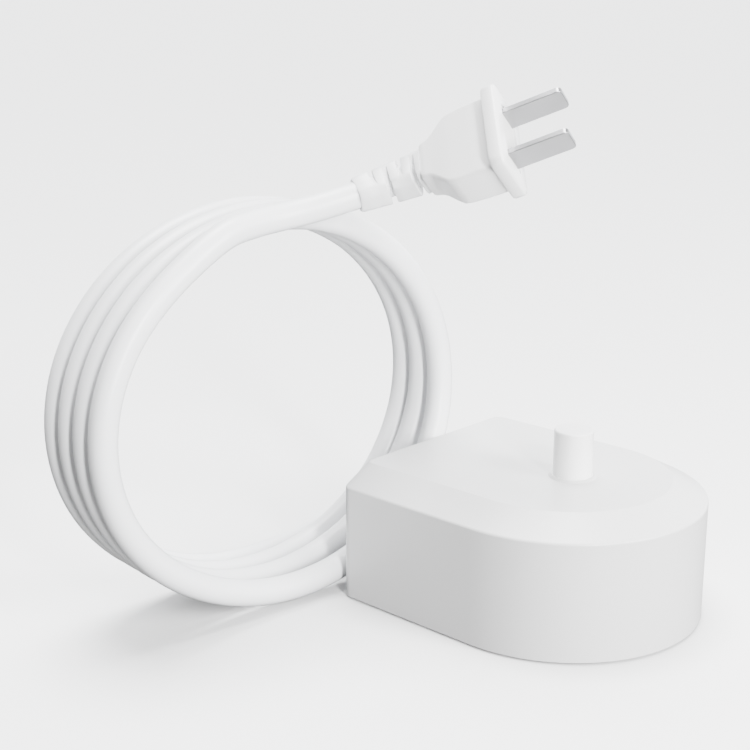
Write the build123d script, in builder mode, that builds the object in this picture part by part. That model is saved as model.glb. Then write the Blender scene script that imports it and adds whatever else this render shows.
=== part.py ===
# Charging base for an electric toothbrush, with its mains cord and two-pin plug.
# Millimetres. The origin is on the surface it stands on, below the middle of the base.
# +Z is up, -Y is the round front and +Y is the flat back, where the cord leaves.
import os
from math import cos, pi, radians, sin, tan

from build123d import *

os.makedirs("parts", exist_ok=True)

# Housing
base_width = 72.0
base_length = 78.7
wall_top = 30.2
deck_height = 34.7
bevel_inset = 8.8
wall = 2.2
deck_thickness = 2.4
bevel_wall = 1.0
corner_radius = 3.0
rim_radius = 0.7
edge_radius = 0.5
foot_proud = 0.6

# Bottom cover and its seal
cover_thickness = 2.0
rebate = 1.1
cover_gap = 0.1
seal_height = 0.6
seal_width = 0.9
foot_radius = 5.0
foot_height = 1.6
foot_gap = 0.1
foot_chamfer = 0.3
rear_foot_inset = 11.0
rear_foot_set_in = 21.35
front_foot_x = 17.0
front_foot_set_forward = 20.65

# Bosses and the screws that close the base
boss_radius = 2.8
rear_boss_inset = 9.0
rear_boss_set_in = 8.35
middle_boss_x = 9.0
middle_boss_set_in = 7.35
front_boss_inset = 9.5
front_boss_set_forward = 8.65
screw_radius = 1.0
screw_length = 9.0
screw_tip_gap = 0.5
screw_head_radius = 2.2
screw_head_height = 1.1
screw_gap = 0.1
recess_depth = 1.2

# Charging post and the transformer half below it
post_radius = 4.9
post_height = 12.2
post_set_back = -2.9
post_wall = 1.2
post_shoulder = 0.3
post_gap = 0.05
post_flange_radius = 7.5
post_flange_thickness = 1.5
collar_height = 0.5
collar_width = 1.1
core_radius = 3.4
core_gap = 0.3
bobbin_wall = 1.0
bobbin_flange_radius = 10.0
bobbin_flange_thickness = 1.2
winding_radius = 8.6

# Circuit board
board_width = 41.0
board_length = 42.0
board_set_back = 2.25
board_thickness = 1.6
board_height = 8.0
standoff_radius = 2.5
standoff_inset = 3.5
board_screw_length = 5.0
board_screw_head_radius = 1.9

# Parts on the board: each spot is measured from the board's centre
bulk_capacitor_spot = (-13.5, 9.5)
bulk_capacitor_radius = 5.0
bulk_capacitor_height = 12.5
film_capacitor_spot = (3.0, 16.5)
film_capacitor_size = (13.0, 6.0, 10.0)
choke_spot = (14.5, 8.5)
choke_radius = 4.0
choke_core_radius = 3.2
choke_height = 9.0
choke_flange_thickness = 1.2
rectifier_spot = (15.0, -2.2)
rectifier_size = (6.2, 8.2, 3.2)
transistor_spot = (-15.0, -3.0)
transistor_size = (3.2, 8.0, 11.0)
fuse_spot = (0.0, -17.0)
fuse_radius = 1.9
fuse_length = 9.0
fuse_lead_radius = 0.4
fuse_lead_span = 14.0

# Cord, and how it leaves the base
cord_radius = 3.4
exit_x = 24.0
exit_z = 8.0
exit_gap = 0.05
neck_radius = 4.0
relief_flange_radius = 5.1
relief_flange_thickness = 2.0
relief_collar = 1.5
relief_collar_radius = 5.5
relief_length = 16.5
relief_bend = 55.0
relief_big_radius = 5.25
relief_small_radius = 4.25
relief_wall_start = 1.0
relief_wall_end = 0.2
relief_ribs = 5
sheath_length = 11.0
clamp_set_in = 9.15
clamp_width = 6.0
clamp_plate_height = 5.0
wire_radius = 1.0
wire_offset = 1.5
wire_bend = 1.5
# Each wire: side of the sheath, straight run, where it rises from the sheath's end, terminal on the board
wire_plans = {
    "live_wire": (-1, 4.0, (-6.0, -6.5, 5.5), (12.5, 19.0)),
    "neutral_wire": (1, 5.0, (-1.0, -11.0, 6.0), (18.7, 12.2)),
}
wire_crest = 0.5

# Coil: it stands on its rim behind the base
coil_x = -44.8
coil_y = 57.1
coil_turn_z = -6.7
coil_half_width = 53.8
coil_half_height = 48.1
coil_turns = 3.42
coil_pitch = 6.9
coil_right_turns = 2.75

# Routes of the cord where it isn't coiled, and the share of the shorter run that each arc takes
arc_share = 0.45
tail_points = [
    (16.67, 54.93, 8.0),
    (6.84, 61.81, 8.0),
    (-5.6, 65.4, 6.9),
    (-18.8, 66.6, 5.0),
    (-31.0, 67.9, 3.9),
]
lead_points = [
    (-64.6, 49.6, 98.6),
    (-52.6, 48.3, 99.5),
    (-41.19, 44.71, 100.24),
    (-30.83, 38.58, 103.6),
]

# Plug: two flat blades, 12.7 mm apart
plug_face = (-10.2, 7.85, 117.9)
plug_aim = (0.409, -0.832, 0.375)
plug_side = (-0.503, -0.548, -0.668)
plug_flange_length = 25.0
plug_flange_width = 16.0
plug_flange_thickness = 3.7
plug_corner = 1.2
plug_sections = [(-3.7, 22.8, 10.6), (-14.8, 21.8, 10.0), (-19.8, 12.4, 8.9), (-22.0, 11.2, 8.4)]
blade_pitch = 12.7
blade_width = 6.3
blade_thickness = 1.5
blade_length = 14.5
blade_tail = 9.0
blade_chamfer = 1.2
insert_length = 17.0
insert_width = 8.0
insert_depth = 6.0
insert_recess = 0.3
conductor_spread_start = 13.0
conductor_spread_end = 18.0
conductor_rear_offset = 1.6
plug_relief_length = 18.3
plug_relief_bend = 32.0
plug_relief_bend_turn = -51.8
plug_relief_start = 9.4
plug_relief_end = 7.6
plug_relief_flatness = 0.95
slot_width = 1.5
slot_pitch = 3.8
slot_count = 4
slot_core_radius = 3.0

# Sizes that follow from those
touch = 0.01
loft_shares = (0.0, 1 / 3, 2 / 3, 1.0)
bow_y = -base_length / 2 + base_width / 2
rear_y = base_length / 2
inner_wall_y = rear_y - wall
flange_y = inner_wall_y - relief_flange_thickness
clamp_y = inner_wall_y - clamp_set_in
post_y = bow_y + post_set_back
board_centre_y = post_y + board_set_back
rear_boss_x = base_width / 2 - rear_boss_inset
front_boss_x = base_width / 2 - front_boss_inset
rear_foot_x = base_width / 2 - rear_foot_inset
boss_spots = [
    (-rear_boss_x, rear_y - rear_boss_set_in),
    (middle_boss_x, rear_y - middle_boss_set_in),
    (-front_boss_x, bow_y - front_boss_set_forward),
    (front_boss_x, bow_y - front_boss_set_forward),
]
foot_spots = [
    (-rear_foot_x, rear_y - rear_foot_set_in),
    (rear_foot_x, rear_y - rear_foot_set_in),
    (-front_foot_x, bow_y - front_foot_set_forward),
    (front_foot_x, bow_y - front_foot_set_forward),
]
cover_top = foot_proud + cover_thickness
shoulder_z = cover_top + seal_height
deck_under = deck_height - deck_thickness
post_top = deck_height + post_height
board_top = board_height + board_thickness
bobbin_bore = core_radius + core_gap
bobbin_top = deck_under - post_flange_thickness - core_gap
clamp_screw_offset = cord_radius + standoff_radius + screw_gap
up_align = (Align.CENTER, Align.CENTER, Align.MIN)
down_align = (Align.CENTER, Align.CENTER, Align.MAX)


def d_outline(height, inset, rear_inset):
    """Round-fronted outline of the base, moved in by an inset."""
    half = base_width / 2 - inset
    back = rear_y - rear_inset
    with BuildSketch(Plane.XY.offset(height)) as outline:
        with BuildLine():
            Line((-half, back), (-half, bow_y))
            ThreePointArc((-half, bow_y), (0, bow_y - half), (half, bow_y))
            Line((half, bow_y), (half, back))
            Line((half, back), (-half, back))
        make_face()
        rear_corners = outline.vertices().group_by(Axis.Y)[-1]
        fillet(rear_corners, max(corner_radius - rear_inset, edge_radius))
    return outline.sketch


def cross_recess(length, depth, align):
    """Driver recess of a screw head, cut where the current locations are."""
    Box(length, length / 4, depth, align=align, mode=Mode.SUBTRACT)
    Box(length / 4, length, depth, align=align, mode=Mode.SUBTRACT)


# Upper housing: a shell with a bevel round its front and sides and a flat back
with BuildPart() as housing_cavity:
    extrude(d_outline(foot_proud, rebate, rebate), amount=cover_thickness + seal_height)
    extrude(d_outline(shoulder_z, wall, wall), amount=wall_top - bevel_wall - shoulder_z)
    loft(
        [
            d_outline(wall_top - bevel_wall, wall, wall),
            d_outline(deck_under, bevel_inset + bevel_wall, wall),
        ]
    )
    with Locations(*[(x, y, cover_top) for x, y in boss_spots]):
        Cylinder(boss_radius, deck_height, align=up_align, mode=Mode.SUBTRACT)

with BuildPart() as upper_housing:
    extrude(d_outline(foot_proud, 0, 0), amount=wall_top - foot_proud)
    loft([d_outline(wall_top, 0, 0), d_outline(deck_height, bevel_inset, 0)])
    rim = upper_housing.edges().filter_by_position(Axis.Z, wall_top - touch, deck_height + touch)
    fillet(rim, rim_radius)
    with Locations((0, post_y, deck_height)):
        Cone(
            post_radius + collar_width,
            post_radius + collar_width / 2,
            collar_height,
            align=up_align,
        )
    add(housing_cavity.part, mode=Mode.SUBTRACT)
    with Locations((0, post_y, deck_height + collar_height)):
        Hole(post_radius + post_shoulder + post_gap, depth=deck_thickness + collar_height)
    for x, y in boss_spots:
        with Locations(Plane((x, y, cover_top), z_dir=(0, 0, -1))):
            Hole(screw_radius + screw_gap / 2, depth=screw_length)
    with Locations(Plane((exit_x, rear_y, exit_z), z_dir=(0, 1, 0))):
        Hole(neck_radius + exit_gap, depth=wall)
upper_housing.part.label = "upper_housing"
export_step(upper_housing.part, "parts/upper_housing.step")

# Bottom cover: a plate in the housing's rebate, with standoffs and the cord's cradle
board_corners = [
    (sx * (board_width / 2 - standoff_inset), board_centre_y + sy * (board_length / 2 - standoff_inset))
    for sx in (-1, 1)
    for sy in (-1, 1)
]
clamp_spots = [(exit_x - clamp_screw_offset, clamp_y), (exit_x + clamp_screw_offset, clamp_y)]
with BuildPart() as bottom_cover:
    extrude(d_outline(foot_proud, rebate + cover_gap, rebate + cover_gap), amount=cover_thickness)
    with Locations(*[(x, y, cover_top) for x, y in board_corners]):
        Cylinder(standoff_radius, board_height - cover_top, align=up_align)
    with Locations(*[(x, y, cover_top) for x, y in clamp_spots]):
        Cylinder(standoff_radius, exit_z - cover_top, align=up_align)
    with Locations((exit_x, clamp_y, cover_top)):
        Box(clamp_width, clamp_width, exit_z - cord_radius - cover_top, align=up_align)
    for x, y in foot_spots:
        with Locations(Plane((x, y, foot_proud), z_dir=(0, 0, -1))):
            Hole(foot_radius + foot_gap, depth=foot_height - foot_proud)
    for x, y in boss_spots:
        with Locations(Plane((x, y, foot_proud), z_dir=(0, 0, -1))):
            CounterBoreHole(
                screw_radius + screw_gap,
                screw_head_radius + 2 * screw_gap,
                recess_depth,
                depth=cover_thickness,
            )
    with Locations(*[(x, y, board_height) for x, y in board_corners]):
        Hole(screw_radius + screw_gap / 2, depth=board_screw_length - board_thickness)
    with Locations(*[(x, y, exit_z) for x, y in clamp_spots]):
        Hole(screw_radius + screw_gap / 2, depth=board_screw_length - recess_depth)
bottom_cover.part.label = "bottom_cover"
export_step(bottom_cover.part, "parts/bottom_cover.step")

# Seal: a flat ring between the cover and the housing's shoulder
with BuildPart() as housing_seal:
    outer_inset = rebate + cover_gap
    inner_inset = outer_inset + seal_width
    extrude(d_outline(cover_top, outer_inset, outer_inset), amount=seal_height)
    extrude(d_outline(cover_top, inner_inset, inner_inset), amount=seal_height, mode=Mode.SUBTRACT)
housing_seal.part.label = "housing_seal"
export_step(housing_seal.part, "parts/housing_seal.step")

# Four rubber feet in the cover's pockets
for number, (x, y) in enumerate(foot_spots, start=1):
    with BuildPart() as foot:
        with Locations((x, y, 0)):
            Cylinder(foot_radius, foot_height, align=up_align)
        chamfer(foot.edges().group_by(Axis.Z)[0], foot_chamfer)
    foot.part.label = f"foot_{number}"
    export_step(foot.part, f"parts/foot_{number}.step")

# Screws that hold the cover, driven from below
with BuildPart() as cover_screws:
    head_z = foot_proud + recess_depth
    with Locations(*[(x, y, head_z) for x, y in boss_spots]):
        Cylinder(screw_radius, screw_length - screw_tip_gap, align=up_align)
        Cylinder(screw_head_radius, screw_head_height, align=down_align)
    with Locations(*[(x, y, head_z - screw_head_height) for x, y in boss_spots]):
        cross_recess(screw_head_radius * 1.2, screw_head_height / 2, up_align)
cover_screws.part.label = "cover_screws"
export_step(cover_screws.part, "parts/cover_screws.step")

# Charging post: a closed cup, flanged below the deck and shouldered in the deck's hole
with BuildPart() as charging_post:
    with Locations((0, post_y, deck_under - post_flange_thickness)):
        Cylinder(post_flange_radius, post_flange_thickness, align=up_align)
        Cylinder(post_radius, post_top - deck_under + post_flange_thickness, align=up_align)
        Cylinder(
            post_radius + post_shoulder,
            post_flange_thickness + deck_thickness + collar_height,
            align=up_align,
        )
    fillet(charging_post.edges().group_by(Axis.Z)[-1], edge_radius)
    with Locations((0, post_y, deck_under - post_flange_thickness)):
        Cylinder(
            post_radius - post_wall,
            post_top - post_wall - deck_under + post_flange_thickness,
            align=up_align,
            mode=Mode.SUBTRACT,
        )
charging_post.part.label = "charging_post"
export_step(charging_post.part, "parts/charging_post.step")

# Ferrite core, its bobbin and the primary winding
with BuildPart() as ferrite_core:
    with Locations((0, post_y, board_top)):
        Cylinder(core_radius, post_top - post_wall - core_gap - board_top, align=up_align)
    chamfer(ferrite_core.edges().group_by(Axis.Z)[-1], core_gap)
ferrite_core.part.label = "ferrite_core"
export_step(ferrite_core.part, "parts/ferrite_core.step")

with BuildPart() as coil_bobbin:
    with Locations((0, post_y, board_top)):
        Cylinder(bobbin_bore + bobbin_wall, bobbin_top - board_top, align=up_align)
        Cylinder(bobbin_flange_radius, bobbin_flange_thickness, align=up_align)
    with Locations((0, post_y, bobbin_top)):
        Cylinder(bobbin_flange_radius, bobbin_flange_thickness, align=down_align)
        Hole(bobbin_bore, depth=bobbin_top - board_top)
coil_bobbin.part.label = "coil_bobbin"
export_step(coil_bobbin.part, "parts/coil_bobbin.step")

with BuildPart() as primary_winding:
    winding_height = bobbin_top - board_top - 2 * bobbin_flange_thickness
    with Locations((0, post_y, board_top + bobbin_flange_thickness)):
        Cylinder(winding_radius, winding_height, align=up_align)
        Cylinder(bobbin_bore + bobbin_wall, winding_height, align=up_align, mode=Mode.SUBTRACT)
primary_winding.part.label = "primary_winding"
export_step(primary_winding.part, "parts/primary_winding.step")

# Circuit board on its standoffs, and its screws
with BuildPart() as circuit_board:
    with BuildSketch(Plane.XY.offset(board_height)):
        with Locations((0, board_centre_y)):
            RectangleRounded(board_width, board_length, corner_radius / 2)
    extrude(amount=board_thickness)
    with Locations(*[(x, y, board_top) for x, y in board_corners]):
        Hole(screw_radius + screw_gap, depth=board_thickness)
circuit_board.part.label = "circuit_board"
export_step(circuit_board.part, "parts/circuit_board.step")

with BuildPart() as board_screws:
    with Locations(*[(x, y, board_top) for x, y in board_corners]):
        Cylinder(screw_radius, board_screw_length - screw_tip_gap, align=down_align)
        Cylinder(board_screw_head_radius, screw_head_height, align=up_align)
    with Locations(*[(x, y, board_top + screw_head_height) for x, y in board_corners]):
        cross_recess(screw_head_radius, screw_head_height / 2, down_align)
board_screws.part.label = "board_screws"
export_step(board_screws.part, "parts/board_screws.step")

# Parts on the board: each is a body that stands on the board's top face


def on_board(spot):
    """Location on the board's top face, for a spot measured from the board's centre."""
    return Location((spot[0], board_centre_y + spot[1], board_top))


with BuildPart() as bulk_capacitor:
    with Locations(on_board(bulk_capacitor_spot)):
        Cylinder(bulk_capacitor_radius, bulk_capacitor_height, align=up_align)
    fillet(bulk_capacitor.edges(), edge_radius)
bulk_capacitor.part.label = "bulk_capacitor"
export_step(bulk_capacitor.part, "parts/bulk_capacitor.step")

with BuildPart() as film_capacitor:
    with Locations(on_board(film_capacitor_spot)):
        Box(*film_capacitor_size, align=up_align)
    fillet(film_capacitor.edges().filter_by(Axis.Z), edge_radius)
film_capacitor.part.label = "film_capacitor"
export_step(film_capacitor.part, "parts/film_capacitor.step")

with BuildPart() as input_choke:
    with Locations(on_board(choke_spot)):
        Cylinder(choke_core_radius, choke_height, align=up_align)
        Cylinder(choke_radius, choke_flange_thickness, align=up_align)
        with Locations((0, 0, choke_height)):
            Cylinder(choke_radius, choke_flange_thickness, align=down_align)
input_choke.part.label = "input_choke"
export_step(input_choke.part, "parts/input_choke.step")

with BuildPart() as bridge_rectifier:
    with Locations(on_board(rectifier_spot)):
        Box(*rectifier_size, align=up_align)
    chamfer(bridge_rectifier.faces().sort_by(Axis.Z)[-1].edges(), edge_radius)
bridge_rectifier.part.label = "bridge_rectifier"
export_step(bridge_rectifier.part, "parts/bridge_rectifier.step")

with BuildPart() as power_transistor:
    with Locations(on_board(transistor_spot)):
        Box(*transistor_size, align=up_align)
    fillet(power_transistor.edges().filter_by(Axis.Z), edge_radius)
power_transistor.part.label = "power_transistor"
export_step(power_transistor.part, "parts/power_transistor.step")

with BuildPart() as fuse_resistor:
    with Locations(on_board(fuse_spot)):
        with Locations(Plane((0, 0, fuse_radius), z_dir=(1, 0, 0))):
            Cylinder(fuse_radius, fuse_length)
            Cylinder(fuse_lead_radius, fuse_lead_span)
        with Locations((-fuse_lead_span / 2, 0), (fuse_lead_span / 2, 0)):
            Cylinder(fuse_lead_radius, fuse_radius + fuse_lead_radius, align=up_align)
fuse_resistor.part.label = "fuse_resistor"
export_step(fuse_resistor.part, "parts/fuse_resistor.step")

# Cord's strain relief at the base: flange inside, neck through the wall, ribbed and bent outside
bend_radius = relief_length / radians(relief_bend)
bend_start = Plane((exit_x, rear_y + relief_collar, exit_z), x_dir=(-1, 0, 0), z_dir=(0, 1, 0))


def bent_station(start, radius, degrees_round):
    """Plane on a bent relief, where the bend has turned by an angle towards the plane's x."""
    pivot = start.location * Location((radius, 0, 0))
    return Plane(pivot * Location((0, 0, 0), (0, degrees_round, 0)) * Location((-radius, 0, 0)))


relief_sections = []
for share in loft_shares:
    relief_wall = relief_wall_start + (relief_wall_end - relief_wall_start) * share
    with BuildSketch(bent_station(bend_start, bend_radius, relief_bend * share)) as ring:
        Circle(cord_radius + relief_wall)
    relief_sections.append(ring.sketch)

with BuildPart() as cord_strain_relief:
    with Locations(Plane((exit_x, flange_y, exit_z), z_dir=(0, 1, 0))):
        Cylinder(relief_flange_radius, relief_flange_thickness, align=up_align)
        Cylinder(neck_radius, rear_y - flange_y, align=up_align)
    with Locations(Plane((exit_x, rear_y, exit_z), z_dir=(0, 1, 0))):
        Cylinder(relief_collar_radius, relief_collar, align=up_align)
    loft(relief_sections)
    rib_step = 1.0 / relief_ribs
    for index in range(relief_ribs):
        share = rib_step * (index + 1 / 4)
        rib_radius = relief_big_radius + (relief_small_radius - relief_big_radius) * share
        with BuildSketch(bent_station(bend_start, bend_radius, relief_bend * share)):
            Circle(rib_radius)
        extrude(amount=relief_length * rib_step / 2)
cord_strain_relief.part.label = "cord_strain_relief"
export_step(cord_strain_relief.part, "parts/cord_strain_relief.step")

# Inner end of the cord's sheath, its clamp and the two wires to the board
with BuildPart() as cord_inner_end:
    with Locations(Plane((exit_x, flange_y, exit_z), z_dir=(0, -1, 0))):
        Cylinder(cord_radius, sheath_length, align=up_align)
cord_inner_end.part.label = "cord_inner_end"
export_step(cord_inner_end.part, "parts/cord_inner_end.step")

with BuildPart() as cord_clamp:
    with Locations((exit_x, clamp_y, exit_z)):
        Box(
            2 * (clamp_screw_offset + standoff_radius),
            clamp_width,
            clamp_plate_height,
            align=up_align,
        )
    with Locations(Plane((exit_x, clamp_y, exit_z), z_dir=(0, 1, 0))):
        Cylinder(cord_radius, clamp_width * 2, mode=Mode.SUBTRACT)
    with Locations(*[(x, y, exit_z + clamp_plate_height) for x, y in clamp_spots]):
        Cylinder(
            board_screw_head_radius + screw_gap * 2,
            clamp_plate_height - recess_depth,
            align=down_align,
            mode=Mode.SUBTRACT,
        )
        Hole(screw_radius + screw_gap, depth=clamp_plate_height)
    fillet(cord_clamp.edges().filter_by(Axis.Y).group_by(Axis.Z)[-1], edge_radius)
cord_clamp.part.label = "cord_clamp"
export_step(cord_clamp.part, "parts/cord_clamp.step")

with BuildPart() as clamp_screws:
    with Locations(*[(x, y, exit_z + recess_depth) for x, y in clamp_spots]):
        Cylinder(screw_radius, board_screw_length - screw_tip_gap, align=down_align)
        Cylinder(board_screw_head_radius, screw_head_height, align=up_align)
    with Locations(*[(x, y, exit_z + recess_depth + screw_head_height) for x, y in clamp_spots]):
        cross_recess(screw_head_radius, screw_head_height / 2, down_align)
clamp_screws.part.label = "clamp_screws"
export_step(clamp_screws.part, "parts/clamp_screws.step")

sheath_end_y = flange_y - sheath_length
for name, (side, straight_run, rise, terminal) in wire_plans.items():
    start_x = exit_x + side * wire_offset
    terminal_y = board_centre_y + terminal[1]
    route = [
        (start_x, sheath_end_y, exit_z),
        (start_x, sheath_end_y - straight_run, exit_z),
        (exit_x + rise[0], sheath_end_y + rise[1], exit_z + rise[2]),
        (terminal[0], terminal_y, exit_z + rise[2] + wire_crest),
        (terminal[0], terminal_y, board_top),
    ]
    with BuildPart() as wire:
        with BuildLine() as wire_path:
            FilletPolyline(*route, radius=wire_bend)
        with BuildSketch(Plane(route[0], z_dir=wire_path.line % 0)):
            Circle(wire_radius)
        sweep(path=wire_path.line)
    wire.part.label = name
    export_step(wire.part, f"parts/{name}.step")


def corner_radii(points):
    """Radius of each corner's arc: a share of the shorter run over the tangent of half the turn."""
    radii = []
    for before, here, after in zip(points, points[1:], points[2:]):
        run_in = Vector(*here) - Vector(*before)
        run_out = Vector(*after) - Vector(*here)
        half_turn = radians(run_in.get_angle(run_out)) / 2
        radii.append(arc_share * min(run_in.length, run_out.length) / tan(half_turn))
    return radii


# Stretches of the cord that aren't coiled
for name, route in {"cord_tail": tail_points, "cord_lead": lead_points}.items():
    radii = corner_radii(route)
    with BuildPart() as cord:
        with BuildLine():
            cord_path = FilletPolyline(*route, radius=radii)
        with BuildSketch(Plane(route[0], z_dir=cord_path % 0)):
            Circle(cord_radius)
        sweep(path=cord_path)
    expected = pi * cord_radius**2 * cord_path.length
    print(name, "radii", [round(radius, 1) for radius in radii])
    print(name, "length", round(cord_path.length, 1), "volume", round(cord.part.volume / expected, 4))
    cord.part.label = name
    export_step(cord.part, f"parts/{name}.step")

# The coil's outer shape: a standing oval ring, one turn thinner on its right side
coil_turn = radians(coil_turn_z)
coil_axis = (sin(coil_turn), -cos(coil_turn), 0)
coil_right = (cos(coil_turn), sin(coil_turn), 0)
coil_centre = (coil_x, coil_y, coil_half_height + cord_radius)
coil_back = coil_turns / 2 * coil_pitch + cord_radius
coil_front_right = (coil_right_turns - coil_turns / 2) * coil_pitch + cord_radius
coil_plane = Plane(coil_centre, x_dir=coil_right, z_dir=coil_axis)
with BuildPart() as cord_coil:
    with BuildSketch(coil_plane.offset(-coil_back)):
        Ellipse(coil_half_width + cord_radius, coil_half_height + cord_radius)
        Ellipse(
            coil_half_width - cord_radius,
            coil_half_height - cord_radius,
            mode=Mode.SUBTRACT,
        )
    extrude(amount=2 * coil_back)
    with Locations(coil_plane.offset(coil_front_right)):
        Box(
            2 * coil_half_width,
            4 * coil_half_height,
            2 * coil_back,
            align=(Align.MIN, Align.CENTER, Align.MIN),
            mode=Mode.SUBTRACT,
        )
cord_coil.part.label = "cord_coil"
export_step(cord_coil.part, "parts/cord_coil.step")

# Plug, in its own plane: x across the blades, y along their width, z out of its face
plug_plane = Plane(plug_face, x_dir=plug_side, z_dir=plug_aim)
plug_rear = -plug_sections[-1][0]
wire_spread = blade_pitch / 2
conductor_routes = [
    [
        (side * wire_spread, 0, -blade_tail),
        (side * wire_spread, 0, -conductor_spread_start),
        (side * conductor_rear_offset, 0, -conductor_spread_end),
        (side * conductor_rear_offset, 0, -plug_rear),
    ]
    for side in (-1, 1)
]
with BuildPart() as plug_conductors:
    for route in conductor_routes:
        world_route = [plug_plane.from_local_coords(Vector(*point)) for point in route]
        with BuildLine() as conductor_path:
            FilletPolyline(*world_route, radius=wire_bend)
        with BuildSketch(Plane(world_route[0], z_dir=conductor_path.line % 0)):
            Circle(wire_radius)
        sweep(path=conductor_path.line)
plug_conductors.part.label = "plug_conductors"
export_step(plug_conductors.part, "parts/plug_conductors.step")

blade_parts = []
for number, side in enumerate((-1, 1), start=1):
    with BuildPart() as blade:
        with BuildSketch(plug_plane.offset(-blade_tail)):
            with Locations((side * blade_pitch / 2, 0)):
                Rectangle(blade_thickness, blade_width)
        extrude(amount=blade_tail + blade_length)
        tip_corners = blade.faces().sort_by(Axis(plug_face, plug_aim))[-1].edges()
        short_ends = tip_corners.sort_by(SortBy.LENGTH)[:2]
        chamfer(short_ends, blade_chamfer)
    blade.part.label = f"plug_blade_{number}"
    export_step(blade.part, f"parts/plug_blade_{number}.step")
    blade_parts.append(blade.part)

with BuildPart() as plug_insert:
    with BuildSketch(plug_plane.offset(-insert_recess - insert_depth)):
        RectangleRounded(insert_length, insert_width, plug_corner)
    extrude(amount=insert_depth)
    for blade_part in blade_parts:
        add(blade_part, mode=Mode.SUBTRACT)
plug_insert.part.label = "plug_insert"
export_step(plug_insert.part, "parts/plug_insert.step")

plug_outlines = []
for height, length, width in plug_sections:
    with BuildSketch(plug_plane.offset(height)) as plug_outline:
        RectangleRounded(length, width, plug_corner)
    plug_outlines.append(plug_outline.sketch)

with BuildPart() as plug_body:
    loft(plug_outlines, ruled=True)
    with BuildSketch(plug_plane.offset(-plug_flange_thickness)):
        RectangleRounded(plug_flange_length, plug_flange_width, plug_corner * 2)
    extrude(amount=plug_flange_thickness)
    face_rim = plug_body.faces().sort_by(Axis(plug_face, plug_aim))[-1].edges()
    fillet(face_rim, edge_radius)
    for blade_part in blade_parts:
        add(blade_part, mode=Mode.SUBTRACT)
    with BuildSketch(plug_plane.offset(-insert_recess - insert_depth)):
        RectangleRounded(insert_length, insert_width, plug_corner)
    extrude(amount=insert_depth, mode=Mode.SUBTRACT)
    add(plug_conductors.part, mode=Mode.SUBTRACT)
plug_body.part.label = "plug_body"
export_step(plug_body.part, "parts/plug_body.step")

# Plug's strain relief: a bent, tapered bar with slots from alternate sides round a core
relief_turn = radians(plug_relief_bend_turn)
bend_side = plug_plane.from_local_coords(Vector(cos(relief_turn), sin(relief_turn), 0)) - Vector(*plug_face)
relief_origin = plug_plane.from_local_coords(Vector(0, 0, -plug_rear))
relief_plane = Plane(relief_origin, x_dir=bend_side, z_dir=-Vector(*plug_aim))
plug_bend_radius = plug_relief_length / radians(plug_relief_bend)
plug_relief_sections = []
for share in loft_shares:
    size = plug_relief_start + (plug_relief_end - plug_relief_start) * share
    with BuildSketch(bent_station(relief_plane, plug_bend_radius, plug_relief_bend * share)) as bar:
        RectangleRounded(size, size * plug_relief_flatness, plug_corner * 2, rotation=plug_relief_bend_turn)
    plug_relief_sections.append(bar.sketch)

with BuildPart() as plug_strain_relief:
    loft(plug_relief_sections)
    for index in range(slot_count):
        share = slot_pitch * (index + 1 / 2) / plug_relief_length
        station = bent_station(relief_plane, plug_bend_radius, plug_relief_bend * share)
        side = 1 if index % 2 == 0 else -1
        turned = Plane(station.location * Location((0, 0, 0), (0, 0, plug_relief_bend_turn)))
        with BuildSketch(turned):
            with Locations((side * plug_relief_start / 2, 0)):
                Rectangle(plug_relief_start, plug_relief_start * 2)
            Circle(slot_core_radius, mode=Mode.SUBTRACT)
        extrude(amount=slot_width / 2, both=True, mode=Mode.SUBTRACT)
plug_strain_relief.part.label = "plug_strain_relief"
export_step(plug_strain_relief.part, "parts/plug_strain_relief.step")
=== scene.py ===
from math import cos, pi, radians, sin

import bmesh
import bpy
from mathutils import Matrix, Vector


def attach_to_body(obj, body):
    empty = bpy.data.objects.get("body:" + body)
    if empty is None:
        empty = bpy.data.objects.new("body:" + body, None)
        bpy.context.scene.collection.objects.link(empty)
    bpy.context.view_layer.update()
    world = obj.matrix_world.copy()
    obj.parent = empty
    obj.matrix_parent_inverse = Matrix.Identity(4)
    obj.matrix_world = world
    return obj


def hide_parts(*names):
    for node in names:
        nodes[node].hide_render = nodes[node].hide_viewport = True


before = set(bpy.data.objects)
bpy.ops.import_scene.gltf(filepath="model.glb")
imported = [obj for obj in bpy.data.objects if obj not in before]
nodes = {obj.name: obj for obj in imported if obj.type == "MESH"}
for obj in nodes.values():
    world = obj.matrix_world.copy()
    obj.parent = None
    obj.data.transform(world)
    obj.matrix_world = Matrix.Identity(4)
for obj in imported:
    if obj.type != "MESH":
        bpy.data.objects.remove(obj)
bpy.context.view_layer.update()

mm = 0.001

# camera
cameraLook = {
    "eye": (-0.2742, -0.1954, 0.1520),
    "azimuth": -46.9,  # degrees, 0 looks along +Y
    "elevation": 15.48,
    "lens": 67.07,
    "sensor": 36.0,
}


def makeCamera(look):
    turn, tilt = radians(look["azimuth"]), radians(look["elevation"])
    back = Vector((sin(turn) * cos(tilt), -cos(turn) * cos(tilt), sin(tilt)))
    data = bpy.data.cameras.new("mainCamera")
    data.lens = look["lens"]
    data.sensor_width = look["sensor"]
    data.clip_start = 0.01
    camera = bpy.data.objects.new("mainCamera", data)
    camera.location = look["eye"]
    camera.rotation_euler = (-back).to_track_quat("-Z", "Y").to_euler()
    bpy.context.scene.collection.objects.link(camera)
    bpy.context.scene.camera = camera


makeCamera(cameraLook)
print("camera made")

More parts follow.
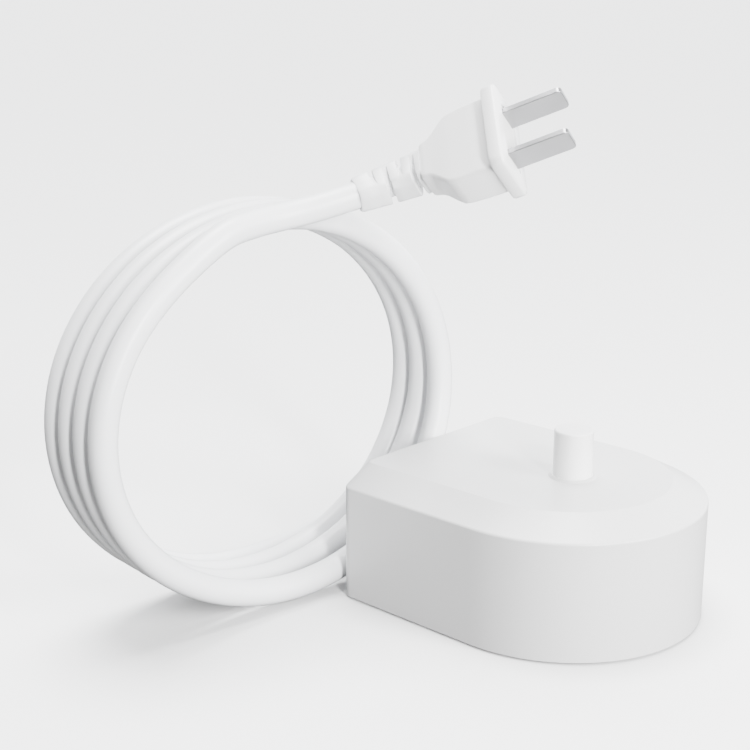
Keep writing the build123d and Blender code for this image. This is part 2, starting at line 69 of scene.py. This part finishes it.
# cord: one spline from the base's relief through the coil to the plug's relief, in mm
cordLook = {
    "diameter": 6.8,
    "length": 1170.0,
    "tail": [
        (16.67, 54.93, 8.0),
        (6.84, 61.81, 8.0),
        (-5.6, 65.4, 6.9),
        (-18.8, 66.6, 5.0),
        (-31.0, 67.9, 3.9),
        (-43.0, 68.9, 3.4),
    ],
    "lead": [
        (-66.5, 48.4, 96.9),
        (-56.0, 47.9, 98.7),
        (-46.0, 46.4, 99.7),
        (-38.3, 43.0, 101.2),
        (-30.83, 38.58, 103.6),
    ],
    "coilCentre": (-44.8, 57.1, 51.5),
    "coilTurnZ": -6.7,
    "halfWidth": 53.8,
    "halfHeight": 48.1,
    "pitch": 6.9,
    "turns": 3.42,
    "firstTurn": 0.05,
    "lastTurn": 3.36,
    "pointsPerTurn": 16,
    "slack": 3.2,  # how far the front turn leans out where it meets the floor
    "slackTurn": 2.93,
    "slackSpread": 0.22,
    "stepsAround": 8,
    "stepsAlong": 10,
}


def coilPoint(look, turn):
    angle = 2 * pi * turn
    zTurn = radians(look["coilTurnZ"])
    right = Vector((cos(zTurn), sin(zTurn), 0))
    axis = Vector((sin(zTurn), -cos(zTurn), 0))
    away = (turn - look["slackTurn"]) / look["slackSpread"]
    lean = look["slack"] * max(0, 1 - away**2) ** 2
    place = Vector(look["coilCentre"])
    place -= look["halfWidth"] * sin(angle) * right
    place.z -= look["halfHeight"] * cos(angle)
    return place + ((turn - look["turns"] / 2) * look["pitch"] + lean) * axis


def makeCord(look):
    span = look["lastTurn"] - look["firstTurn"]
    count = round(span * look["pointsPerTurn"])
    turns = [coilPoint(look, look["firstTurn"] + span * i / count) for i in range(count + 1)]
    route = [Vector(p) for p in look["tail"]] + turns + [Vector(p) for p in look["lead"]]
    data = bpy.data.curves.new("mainsCord", "CURVE")
    data.dimensions = "3D"
    data.bevel_depth = 1.0  # the points' own radius sets the thickness
    data.bevel_resolution = look["stepsAround"]
    data.resolution_u = look["stepsAlong"]
    spline = data.splines.new("NURBS")
    spline.points.add(len(route) - 1)
    for point, place in zip(spline.points, route):
        point.co = (*(place * mm), 1)
        point.radius = look["diameter"] / 2 * mm
    spline.order_u = 3
    spline.use_endpoint_u = True
    cordObject = bpy.data.objects.new("mainsCord", data)
    bpy.context.scene.collection.objects.link(cordObject)
    return cordObject


cord = makeCord(cordLook)
print("cord made")

# mesh helpers
creaseAngle = radians(38)  # edges sharper than this stay sharp
edgeSteps = 3


# rings of points joined into a closed skin
def skin(name, rings):
    mesh = bmesh.new()
    loops = [[mesh.verts.new(Vector(p) * mm) for p in ring] for ring in rings]
    for near, far in zip(loops, loops[1:]):
        for i in range(len(near)):
            j = (i + 1) % len(near)
            mesh.faces.new((near[i], near[j], far[j], far[i]))
    mesh.faces.new(list(reversed(loops[0])))
    mesh.faces.new(loops[-1])
    bmesh.ops.recalc_face_normals(mesh, faces=mesh.faces)
    data = bpy.data.meshes.new(name)
    mesh.to_mesh(data)
    mesh.free()
    piece = bpy.data.objects.new(name, data)
    bpy.context.scene.collection.objects.link(piece)
    smoothByAngle(piece)
    return piece


def smoothByAngle(piece):
    piece.data.shade_smooth()
    mesh = bmesh.new()
    mesh.from_mesh(piece.data)
    for edge in mesh.edges:
        edge.smooth = len(edge.link_faces) == 2 and edge.calc_face_angle() < creaseAngle
    mesh.to_mesh(piece.data)
    mesh.free()


def roundedOutline(length, width, corner, pointsPerCorner=9):
    corner = min(corner, length / 2, width / 2)
    outline = []
    for quarter, (sx, sy) in enumerate(((1, 1), (-1, 1), (-1, -1), (1, -1))):
        centre = Vector((sx * (length / 2 - corner), sy * (width / 2 - corner), 0))
        for i in range(pointsPerCorner):
            angle = pi / 2 * (quarter + i / (pointsPerCorner - 1))
            outline.append(centre + corner * Vector((cos(angle), sin(angle), 0)))
    return outline


def placed(outline, plane, height=0.0):
    return [plane @ (p + Vector((0, 0, height))) for p in outline]


def planeAt(origin, xSide, zAim):
    z = Vector(zAim).normalized()
    x = (Vector(xSide) - Vector(xSide).dot(z) * z).normalized()
    y = z.cross(x)
    plane = Matrix((x, y, z)).transposed().to_4x4()
    plane.translation = Vector(origin)
    return plane


def bentPlane(start, radius, degrees):
    turned = Matrix.Rotation(radians(degrees), 4, "Y")
    return start @ Matrix.Translation((radius, 0, 0)) @ turned @ Matrix.Translation((-radius, 0, 0))


# plug: a tapered body, a face flange round the insert, and two blades, in mm
plugLook = {
    "face": (-10.2, 7.85, 117.9),
    "aim": (0.409, -0.832, 0.375),
    "side": (-0.503, -0.548, -0.668),
    "bodySections": [  # distance behind the face, length, width
        (3.5, 22.4, 10.2), (3.9, 22.6, 10.4), (4.3, 22.7, 10.5), (9.0, 22.4, 10.4), (13.0, 21.9, 10.1),
        (14.6, 21.2, 9.9), (15.8, 19.2, 9.7), (17.2, 16.4, 9.4), (18.6, 13.6, 9.1), (19.6, 12.3, 8.9),
        (20.6, 11.6, 8.7), (21.5, 11.2, 8.5), (21.9, 10.8, 8.1), (22.0, 10.3, 7.6),
    ],
    "bodyCorner": 1.3,
    "flange": (24.9, 15.9, 3.7),  # length, width, thickness
    "flangeCorner": 2.3,
    "flangeRounding": 0.75,
    # from the back and from the face: height and inset, as shares of the rounding
    "backRim": [(0.0, 1.0), (0.3, 0.3), (1.0, 0.0)],
    "faceRim": [(1.0, 0.0), (0.6, 0.1), (0.25, 0.38), (0.0, 1.0)],
    "insert": (17.0, 8.0, 1.2),  # length, width, corner
    "insertGap": 0.1,
    "insertWell": 0.9,
    "bladePitch": 12.7,
    "blade": (1.5, 6.3, 14.5),  # thickness, width, length
    "bladeTail": 9.0,
    "tipCorner": 1.1,
    "tipSteps": 6,
    "bladeEdge": 0.18,
}
plugPlane = planeAt(plugLook["face"], plugLook["side"], plugLook["aim"])


def makePlugBody(look):
    rings = [
        placed(roundedOutline(length, width, look["bodyCorner"]), plugPlane, -behind)
        for behind, length, width in look["bodySections"]
    ]
    return skin("plugBody", rings)


def makePlugFlange(look):
    length, width, thickness = look["flange"]
    soft = look["flangeRounding"]
    profile = [(soft * share - thickness, soft * inset) for share, inset in look["backRim"]]
    profile += [(-soft * share, soft * inset) for share, inset in look["faceRim"]]
    rings = []
    for height, inset in profile:
        outline = roundedOutline(length - 2 * inset, width - 2 * inset, look["flangeCorner"])
        rings.append(placed(outline, plugPlane, height))
    insertLength, insertWidth, insertCorner = look["insert"]
    gap = look["insertGap"]
    well = roundedOutline(insertLength + gap, insertWidth + gap, insertCorner)
    rings += [placed(well, plugPlane, height) for height in (0, -look["insertWell"])]
    return skin("plugFlange", rings)


def makeBlade(look, name, side):
    thickness, width, length = look["blade"]
    corner, steps = look["tipCorner"], look["tipSteps"]
    outline = [(-width / 2, -look["bladeTail"]), (width / 2, -look["bladeTail"])]
    for sign in (1, -1):
        across, along = sign * (width / 2 - corner), length - corner
        for i in range(steps + 1):
            angle = pi / 2 / steps * (i if sign == 1 else steps - i)
            outline.append((across + sign * corner * cos(angle), along + corner * sin(angle)))
    middle = side * look["bladePitch"] / 2
    rings = []
    for x in (middle - thickness / 2, middle + thickness / 2):
        rings.append([plugPlane @ Vector((x, y, z)) for y, z in outline])
    blade = skin(name, rings)
    softEdges(blade, look["bladeEdge"])
    return blade


def softEdges(piece, width):
    bevel = piece.modifiers.new("softEdges", "BEVEL")
    bevel.width = width * mm
    bevel.segments = edgeSteps
    bevel.limit_method = "ANGLE"
    bevel.angle_limit = creaseAngle
    bevel.harden_normals = True


plugBody = makePlugBody(plugLook)
plugFlange = makePlugFlange(plugLook)
blades = [makeBlade(plugLook, f"plugBlade{i + 1}", side) for i, side in enumerate((-1, 1))]
print("plug made")

# plug's relief: a bent, tapered bar, slotted from alternate sides
plugReliefLook = {
    "length": 18.3,
    "bend": 32.0,
    "bendTurn": -51.8,
    "behindFace": 22.0,
    "startSize": 9.4,
    "endSize": 7.7,
    "flatness": 0.93,
    "corner": 2.2,
    "slotPitch": 3.75,
    "firstSlot": 2.2,
    "slots": 4,
    "slotWidth": 1.35,
    "slotDepth": 2.3,
    "slotStart": 0.6,  # from the middle towards the slotted side
    "slotRun": 0.8,  # how far the slot takes to reach its depth
    "coreRadius": 3.2,  # never cut
    "lipRun": 0.25,  # length of the softened edge outside each slot
    "wallRun": 0.1,  # and of the slot's wall inside it
    "lipShare": 0.12,  # of the depth, where the edge meets the wall
    "endRounding": 0.5,
}


def makePlugRelief(look):
    side = Matrix.Rotation(radians(look["bendTurn"]), 4, "Z")
    start = plugPlane @ Matrix.Translation((0, 0, -look["behindFace"])) @ side @ Matrix.Rotation(pi, 4, "X")
    radius = look["length"] / radians(look["bend"])
    soft = look["endRounding"]
    lip, wall, share = look["lipRun"], look["wallRun"], look["lipShare"]
    # distance along, and the share of the slot's depth cut there, its sign giving the side
    stations = [(0.0, 0), (look["length"] - soft, 0), (look["length"], 0)]
    for i in range(look["slots"]):
        middle = look["firstSlot"] + i * look["slotPitch"]
        half = look["slotWidth"] / 2
        sign = 1 if i % 2 == 0 else -1
        near, far = middle - half, middle + half
        stations += [(near - lip, 0), (near, share * sign), (near + wall, sign)]
        stations += [(far - wall, sign), (far, share * sign), (far + lip, 0)]
    rings = []
    for along, cut in sorted(stations):
        part = along / look["length"]
        size = look["startSize"] + (look["endSize"] - look["startSize"]) * part
        if along == look["length"]:
            size -= soft
        outline = roundedOutline(size, size * look["flatness"], look["corner"])
        for p in outline:
            reach = p.x * (1 if cut > 0 else -1) - look["slotStart"]
            if cut and reach > 0:
                ease = min(1, reach / look["slotRun"]) * abs(cut)
                depth = min(look["slotDepth"], p.length - look["coreRadius"]) * ease
                p -= p.normalized() * depth
        plane = bentPlane(start, radius, look["bend"] * part) @ side
        rings.append(placed(outline, plane))
    return skin("plugRelief", rings)


plugRelief = makePlugRelief(plugReliefLook)
print("plug relief made")

# base's relief: collar on the wall, then a ribbed, tapered elbow
baseReliefLook = {
    "exit": (24.0, 39.35, 8.0),
    "inside": 4.2,
    "neck": 3.95,
    "flange": (5.1, 2.0),  # radius, thickness
    "collar": (5.5, 1.5),  # radius, thickness
    "collarFoot": [(0.02, 0.2), (0.25, 0.0)],  # height above the wall, inset
    "collarTop": [(0.4, 0.0), (0.1, 0.15), (0.0, 0.45)],  # depth below the top, inset
    "length": 16.5,
    "bend": 55.0,
    "ribs": 5,
    "bigRadius": 5.2,
    "smallRadius": 4.2,
    # share of one rib's step, inset from the rib's radius
    "ribProfile": [(0.1, 0.75), (0.3, 0.75), (0.36, 0.25), (0.44, 0.0)]
    + [(0.84, 0.1), (0.93, 0.32), (0.97, 0.75)],
    "around": 48,
}


def circleOf(radius, count):
    angles = [2 * pi * i / count for i in range(count)]
    return [radius * Vector((cos(angle), sin(angle), 0)) for angle in angles]


def makeBaseRelief(look):
    wallPlane = planeAt(look["exit"], (-1, 0, 0), (0, 1, 0))
    radius = look["length"] / radians(look["bend"])
    flangeRadius, flangeThickness = look["flange"]
    collarRadius, collarThickness = look["collar"]
    flangeTop = flangeThickness - look["inside"]
    # height above the wall, and radius there
    profile = [(-look["inside"], flangeRadius), (flangeTop, flangeRadius)]
    profile += [(flangeTop, look["neck"]), (look["collarFoot"][0][0], look["neck"])]
    profile += [(height, collarRadius - inset) for height, inset in look["collarFoot"]]
    profile += [(collarThickness - depth, collarRadius - inset) for depth, inset in look["collarTop"]]
    rings = [placed(circleOf(size, look["around"]), wallPlane, height) for height, size in profile]
    start = wallPlane @ Matrix.Translation((0, 0, collarThickness))
    for i in range(look["ribs"]):
        share = i / look["ribs"]
        rib = look["bigRadius"] + (look["smallRadius"] - look["bigRadius"]) * share
        for place, inset in look["ribProfile"]:
            angle = look["bend"] * (i + place) / look["ribs"]
            plane = bentPlane(start, radius, angle)
            rings.append(placed(circleOf(rib - inset, look["around"]), plane))
    return skin("baseRelief", rings)


baseRelief = makeBaseRelief(baseReliefLook)
print("base relief made")


# shader effects, each built once as a node group
def newGroup(name, inputs, outputs):
    group = bpy.data.node_groups.new(name, "ShaderNodeTree")
    for label, value in inputs:
        socket = group.interface.new_socket(label, in_out="INPUT", socket_type="NodeSocketFloat")
        socket.default_value = value
    for label in outputs:
        group.interface.new_socket(label, in_out="OUTPUT", socket_type="NodeSocketFloat")
    source = group.nodes.new("NodeGroupInput")
    sink = group.nodes.new("NodeGroupOutput")
    return group, source, sink


def mathNode(tree, kind, first, second=None, third=None):
    node = tree.nodes.new("ShaderNodeMath")
    node.operation = kind
    for socket, value in zip(node.inputs, (first, second, third)):
        if value is None:
            continue
        if isinstance(value, (int, float)):
            socket.default_value = value
        else:
            tree.links.new(value, socket)
    return node.outputs[0]


def noiseNode(tree, scale, detail=3.0, stretch=None):
    place = tree.nodes.new("ShaderNodeTexCoord")
    vector = place.outputs["Object"]
    if stretch:
        mapping = tree.nodes.new("ShaderNodeMapping")
        mapping.inputs["Scale"].default_value = stretch
        tree.links.new(vector, mapping.inputs["Vector"])
        vector = mapping.outputs["Vector"]
    noise = tree.nodes.new("ShaderNodeTexNoise")
    tree.links.new(vector, noise.inputs["Vector"])
    if isinstance(scale, (int, float)):
        noise.inputs["Scale"].default_value = scale
    else:
        tree.links.new(scale, noise.inputs["Scale"])
    noise.inputs["Detail"].default_value = detail
    return noise.outputs["Fac"]


def makeMouldGrain():
    inputs = [("Grain Scale", 2600.0), ("Flow Scale", 60.0)]
    group, source, sink = newGroup("mouldGrain", inputs, ["Grain", "Flow"])
    fine = noiseNode(group, source.outputs["Grain Scale"], 2.0)
    broad = noiseNode(group, source.outputs["Flow Scale"], 4.0)
    group.links.new(fine, sink.inputs["Grain"])
    group.links.new(broad, sink.inputs["Flow"])
    return group


def makeHandling():
    inputs = [("Mark Scale", 180.0), ("Amount", 0.5)]
    group, source, sink = newGroup("handling", inputs, ["Marks"])
    broad = noiseNode(group, 22.0, 5.0)
    streak = noiseNode(group, source.outputs["Mark Scale"], 6.0, (1.0, 1.0, 0.25))
    both = mathNode(group, "MULTIPLY", broad, streak)
    lifted = mathNode(group, "MULTIPLY_ADD", both, 3.2, -0.55)  # more contrast
    scaled = mathNode(group, "MULTIPLY", lifted, source.outputs["Amount"])
    limited = mathNode(group, "MAXIMUM", mathNode(group, "MINIMUM", scaled, 1.0), 0.0)
    group.links.new(limited, sink.inputs["Marks"])
    return group


def makeBrushed():
    group, source, sink = newGroup("brushed", [("Line Scale", 900.0)], ["Lines"])
    lines = noiseNode(group, source.outputs["Line Scale"], 3.0, (1.0, 0.06, 1.0))
    group.links.new(lines, sink.inputs["Lines"])
    return group


groups = {"grain": makeMouldGrain(), "handling": makeHandling(), "brushed": makeBrushed()}


def placeGroup(tree, key, **values):
    node = tree.nodes.new("ShaderNodeGroup")
    node.node_tree = groups[key]
    for label, value in values.items():
        node.inputs[label.replace("_", " ")].default_value = value
    return node


def mixColours(tree, mask, first, second):
    mix = tree.nodes.new("ShaderNodeMix")
    mix.data_type = "RGBA"
    tree.links.new(mask, mix.inputs[0])
    mix.inputs[6].default_value = (*first, 1)
    mix.inputs[7].default_value = (*second, 1)
    return mix.outputs[2]


# what every plastic shares, in metres where it's a length
softReach = (0.004, 0.004, 0.004)
softScale = 0.5
coatRough = 0.2


def plastic(name, look):
    material = bpy.data.materials.new(name)
    material.use_nodes = True
    tree = material.node_tree
    shader = tree.nodes["Principled BSDF"]
    flowScale = look.get("flowScale", 60.0)
    grain = placeGroup(tree, "grain", Grain_Scale=look["grainScale"], Flow_Scale=flowScale)
    marks = placeGroup(tree, "handling", Amount=look.get("marks", 0.5))
    colour = mixColours(tree, grain.outputs["Flow"], look["colour"], look["colourEnd"])
    tree.links.new(colour, shader.inputs["Base Color"])
    spread = look.get("roughSpread", 0.12)
    rough = mathNode(tree, "MULTIPLY_ADD", marks.outputs["Marks"], spread, look["rough"])
    tree.links.new(rough, shader.inputs["Roughness"])
    bump = tree.nodes.new("ShaderNodeBump")
    bump.inputs["Strength"].default_value = look["bump"]
    bump.inputs["Distance"].default_value = look.get("bumpDistance", 0.00004)
    tree.links.new(grain.outputs["Grain"], bump.inputs["Height"])
    tree.links.new(bump.outputs["Normal"], shader.inputs["Normal"])
    shader.inputs["Subsurface Weight"].default_value = look.get("soft", 0.0)
    shader.inputs["Subsurface Radius"].default_value = softReach
    shader.inputs["Subsurface Scale"].default_value = softScale
    shader.inputs["Coat Weight"].default_value = look.get("coat", 0.0)
    shader.inputs["Coat Roughness"].default_value = coatRough
    return material


def metal(name, look):
    material = bpy.data.materials.new(name)
    material.use_nodes = True
    tree = material.node_tree
    shader = tree.nodes["Principled BSDF"]
    lines = placeGroup(tree, "brushed", Line_Scale=look["lineScale"])
    marks = placeGroup(tree, "handling", Amount=look.get("marks", 0.6))
    colour = mixColours(tree, marks.outputs["Marks"], look["colour"], look["colourEnd"])
    tree.links.new(colour, shader.inputs["Base Color"])
    spread = look.get("roughSpread", 0.15)
    rough = mathNode(tree, "MULTIPLY_ADD", lines.outputs["Lines"], spread, look["rough"])
    tree.links.new(rough, shader.inputs["Roughness"])
    shader.inputs["Metallic"].default_value = 1.0
    bump = tree.nodes.new("ShaderNodeBump")
    bump.inputs["Strength"].default_value = look["bump"]
    bump.inputs["Distance"].default_value = look.get("bumpDistance", 0.00003)
    tree.links.new(lines.outputs["Lines"], bump.inputs["Height"])
    tree.links.new(bump.outputs["Normal"], shader.inputs["Normal"])
    return material


plasticLooks = {
    # the housing is the same white plastic as the post and plug, painted a darker grey: painted shade that
    # keeps it greyer than the bright floor
    "housingWhiteWithPaintedShade": dict(
        colour=(0.64, 0.64, 0.64), colourEnd=(0.67, 0.67, 0.67), rough=0.38, grainScale=2400.0,
        bump=0.10, marks=0.5, coat=0.1,
    ),
    "postWhite": dict(
        colour=(0.86, 0.86, 0.86), colourEnd=(0.89, 0.89, 0.885), rough=0.30, grainScale=3200.0,
        bump=0.06, coat=0.15,
    ),
    "coverWhite": dict(
        colour=(0.74, 0.74, 0.735), colourEnd=(0.78, 0.78, 0.775), rough=0.55, grainScale=1500.0,
        bump=0.5, bumpDistance=0.00008,
    ),
    "softRubber": dict(
        colour=(0.13, 0.135, 0.14), colourEnd=(0.17, 0.175, 0.18), rough=0.72, grainScale=1300.0,
        bump=0.4, bumpDistance=0.00008,
    ),
    "cordSheath": dict(
        colour=(0.82, 0.83, 0.845), colourEnd=(0.86, 0.865, 0.875), rough=0.36,
        grainScale=2000.0, bump=0.12, soft=0.05, coat=0.1,
    ),
    "reliefWhite": dict(
        colour=(0.84, 0.845, 0.85), colourEnd=(0.87, 0.875, 0.88), rough=0.4, grainScale=2200.0,
        bump=0.15, soft=0.05,
    ),
    "plugWhite": dict(
        colour=(0.87, 0.87, 0.87), colourEnd=(0.9, 0.9, 0.9), rough=0.34, grainScale=2600.0,
        bump=0.1, coat=0.1,
    ),
    "insertWhite": dict(
        colour=(0.76, 0.76, 0.75), colourEnd=(0.8, 0.8, 0.79), rough=0.5, grainScale=1800.0,
        bump=0.3,
    ),
    "boardGreen": dict(
        colour=(0.02, 0.16, 0.05), colourEnd=(0.03, 0.22, 0.08), rough=0.35, grainScale=600.0,
        bump=0.3, flowScale=400.0, coat=0.4,
    ),
    "ferriteGrey": dict(
        colour=(0.03, 0.03, 0.033), colourEnd=(0.05, 0.05, 0.053), rough=0.7, grainScale=1200.0,
        bump=0.5,
    ),
    "bobbinBlack": dict(
        colour=(0.02, 0.02, 0.02), colourEnd=(0.035, 0.035, 0.035), rough=0.5, grainScale=1600.0,
        bump=0.3,
    ),
    "sleeveBlue": dict(
        colour=(0.02, 0.03, 0.09), colourEnd=(0.03, 0.045, 0.12), rough=0.3, grainScale=900.0,
        bump=0.15, coat=0.3,
    ),
    "filmYellow": dict(
        colour=(0.58, 0.42, 0.06), colourEnd=(0.66, 0.48, 0.09), rough=0.45, grainScale=1400.0,
        bump=0.25,
    ),
    "packageBlack": dict(
        colour=(0.015, 0.015, 0.017), colourEnd=(0.03, 0.03, 0.032), rough=0.6,
        grainScale=2000.0, bump=0.4,
    ),
    "resistorBuff": dict(
        colour=(0.56, 0.48, 0.35), colourEnd=(0.62, 0.54, 0.4), rough=0.55, grainScale=1200.0,
        bump=0.3,
    ),
    "wireBrown": dict(
        colour=(0.12, 0.045, 0.02), colourEnd=(0.16, 0.06, 0.025), rough=0.4, grainScale=1800.0,
        bump=0.15,
    ),
    "wireBlue": dict(
        colour=(0.02, 0.08, 0.35), colourEnd=(0.03, 0.1, 0.42), rough=0.4, grainScale=1800.0,
        bump=0.15,
    ),
}
metalLooks = {
    "bladeNickel": dict(
        colour=(0.40, 0.40, 0.41), colourEnd=(0.33, 0.33, 0.34), rough=0.30, lineScale=700.0,
        bump=0.15,
    ),
    "screwSteel": dict(
        colour=(0.55, 0.56, 0.58), colourEnd=(0.48, 0.49, 0.5), rough=0.32, lineScale=500.0,
        bump=0.2,
    ),
    "windingCopper": dict(
        colour=(0.62, 0.25, 0.1), colourEnd=(0.5, 0.19, 0.07), rough=0.3, lineScale=300.0,
        bump=0.6,
    ),
}
paints = {name: plastic(name, look) for name, look in plasticLooks.items()}
paints.update({name: metal(name, look) for name, look in metalLooks.items()})

paintOf = {
    "housingWhiteWithPaintedShade": ["upper_housing"],
    "postWhite": ["charging_post"],
    "coverWhite": ["bottom_cover", "cord_clamp"],
    "softRubber": ["housing_seal", "foot_1", "foot_2", "foot_3", "foot_4"],
    "screwSteel": ["cover_screws", "board_screws", "clamp_screws"],
    "boardGreen": ["circuit_board"],
    "ferriteGrey": ["ferrite_core"],
    "bobbinBlack": ["coil_bobbin"],
    "windingCopper": ["primary_winding", "plug_conductors"],
    "sleeveBlue": ["bulk_capacitor"],
    "filmYellow": ["film_capacitor"],
    "packageBlack": ["input_choke", "bridge_rectifier", "power_transistor"],
    "resistorBuff": ["fuse_resistor"],
    "wireBrown": ["live_wire"],
    "wireBlue": ["neutral_wire"],
    "insertWhite": ["plug_insert"],
    "cordSheath": ["cord_inner_end"],
}
for paint, members in paintOf.items():
    for member in members:
        mesh = nodes[member].data
        mesh.materials.clear()
        mesh.materials.append(paints[paint])
print("materials made")


# who carries what
def attach(piece, paint, replaced=()):
    piece.data.materials.append(paints[paint])
    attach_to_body(piece, "root")
    if replaced:
        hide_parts(*replaced)


attach(cord, "cordSheath", ["cord_tail", "cord_coil", "cord_lead"])
attach(plugBody, "plugWhite", ["plug_body"])
attach(plugFlange, "plugWhite", ["plug_body"])
attach(plugRelief, "reliefWhite", ["plug_strain_relief"])
attach(baseRelief, "reliefWhite", ["cord_strain_relief"])
for number, blade in enumerate(blades, start=1):
    attach(blade, "bladeNickel", [f"plug_blade_{number}"])
print("pieces attached")

# floor, bright backdrop and soft studio light
stageLook = {
    "floor": (0.9, 0.9, 0.9),
    "floorBounce": (0.07, 0.07, 0.07),  # what the floor sends back up at the object
    "floorRough": 0.8,
    "floorSize": 60.0,
    "backdrop": (0.73, 0.68, 0.0),  # direction that shines, behind the object
    "backdropSpan": (0.2, 0.8),  # cosines of the angle from it, where it starts and is full
    "backdropStrength": 5.0,
    "fillStrength": 0.12,
    "skyColour": (0.96, 0.98, 1.0),
    "sunFrom": (0.05, 0.15, 1.0),
    "sunStrength": 9.5,
    "sunSpread": 34.0,
    # place, what it looks at, size across, size up, watts
    "key": ((0.12, -0.85, 0.36), (-0.03, 0.03, 0.05), 0.30, 0.45, 20.0),
    "side": ((-0.34, -0.66, 0.26), (0.0, 0.0, 0.03), 0.08, 0.5, 17.0),
}


def makeFloor(look):
    half = look["floorSize"] / 2
    data = bpy.data.meshes.new("floor")
    corners = [(-half, -half, 0), (half, -half, 0), (half, half, 0), (-half, half, 0)]
    data.from_pydata(corners, [], [(0, 1, 2, 3)])
    floor = bpy.data.objects.new("floor", data)
    bpy.context.scene.collection.objects.link(floor)
    paint = bpy.data.materials.new("floorPaint")
    paint.use_nodes = True
    shader = paint.node_tree.nodes["Principled BSDF"]
    shader.inputs["Roughness"].default_value = look["floorRough"]
    seen = paint.node_tree.nodes.new("ShaderNodeLightPath").outputs["Is Camera Ray"]
    colour = mixColours(paint.node_tree, seen, look["floorBounce"], look["floor"])
    paint.node_tree.links.new(colour, shader.inputs["Base Color"])
    data.materials.append(paint)


def makeLamp(name, data, place, toward):
    lamp = bpy.data.objects.new(name, data)
    lamp.location = place
    lamp.rotation_euler = (Vector(toward) - Vector(place)).to_track_quat("-Z", "Y").to_euler()
    bpy.context.scene.collection.objects.link(lamp)


def makeStrip(name, look):
    place, toward, across, up, power = look
    data = bpy.data.lights.new(name, "AREA")
    data.shape = "RECTANGLE"
    data.size = across
    data.size_y = up
    data.energy = power
    makeLamp(name, data, place, toward)


def makeSun(look):
    data = bpy.data.lights.new("sunLight", "SUN")
    data.energy = look["sunStrength"]
    data.angle = radians(look["sunSpread"])
    makeLamp("sunLight", data, look["sunFrom"], (0, 0, 0))


def makeWorld(look):
    world = bpy.data.worlds.new("studio")
    bpy.context.scene.world = world
    world.use_nodes = True
    tree = world.node_tree
    place = tree.nodes.new("ShaderNodeTexCoord")
    facing = tree.nodes.new("ShaderNodeVectorMath")
    facing.operation = "DOT_PRODUCT"
    facing.inputs[1].default_value = look["backdrop"]
    tree.links.new(place.outputs["Generated"], facing.inputs[0])
    strength = tree.nodes.new("ShaderNodeMapRange")
    strength.interpolation_type = "SMOOTHSTEP"
    strength.inputs["From Min"].default_value = look["backdropSpan"][0]
    strength.inputs["From Max"].default_value = look["backdropSpan"][1]
    strength.inputs["To Min"].default_value = look["fillStrength"]
    strength.inputs["To Max"].default_value = look["backdropStrength"]
    tree.links.new(facing.outputs["Value"], strength.inputs["Value"])
    background = tree.nodes["Background"]
    background.inputs["Color"].default_value = (*look["skyColour"], 1)
    tree.links.new(strength.outputs["Result"], background.inputs["Strength"])


makeFloor(stageLook)
makeWorld(stageLook)
makeSun(stageLook)
for strip in ("key", "side"):
    makeStrip(strip + "Light", stageLook[strip])
print("stage made")
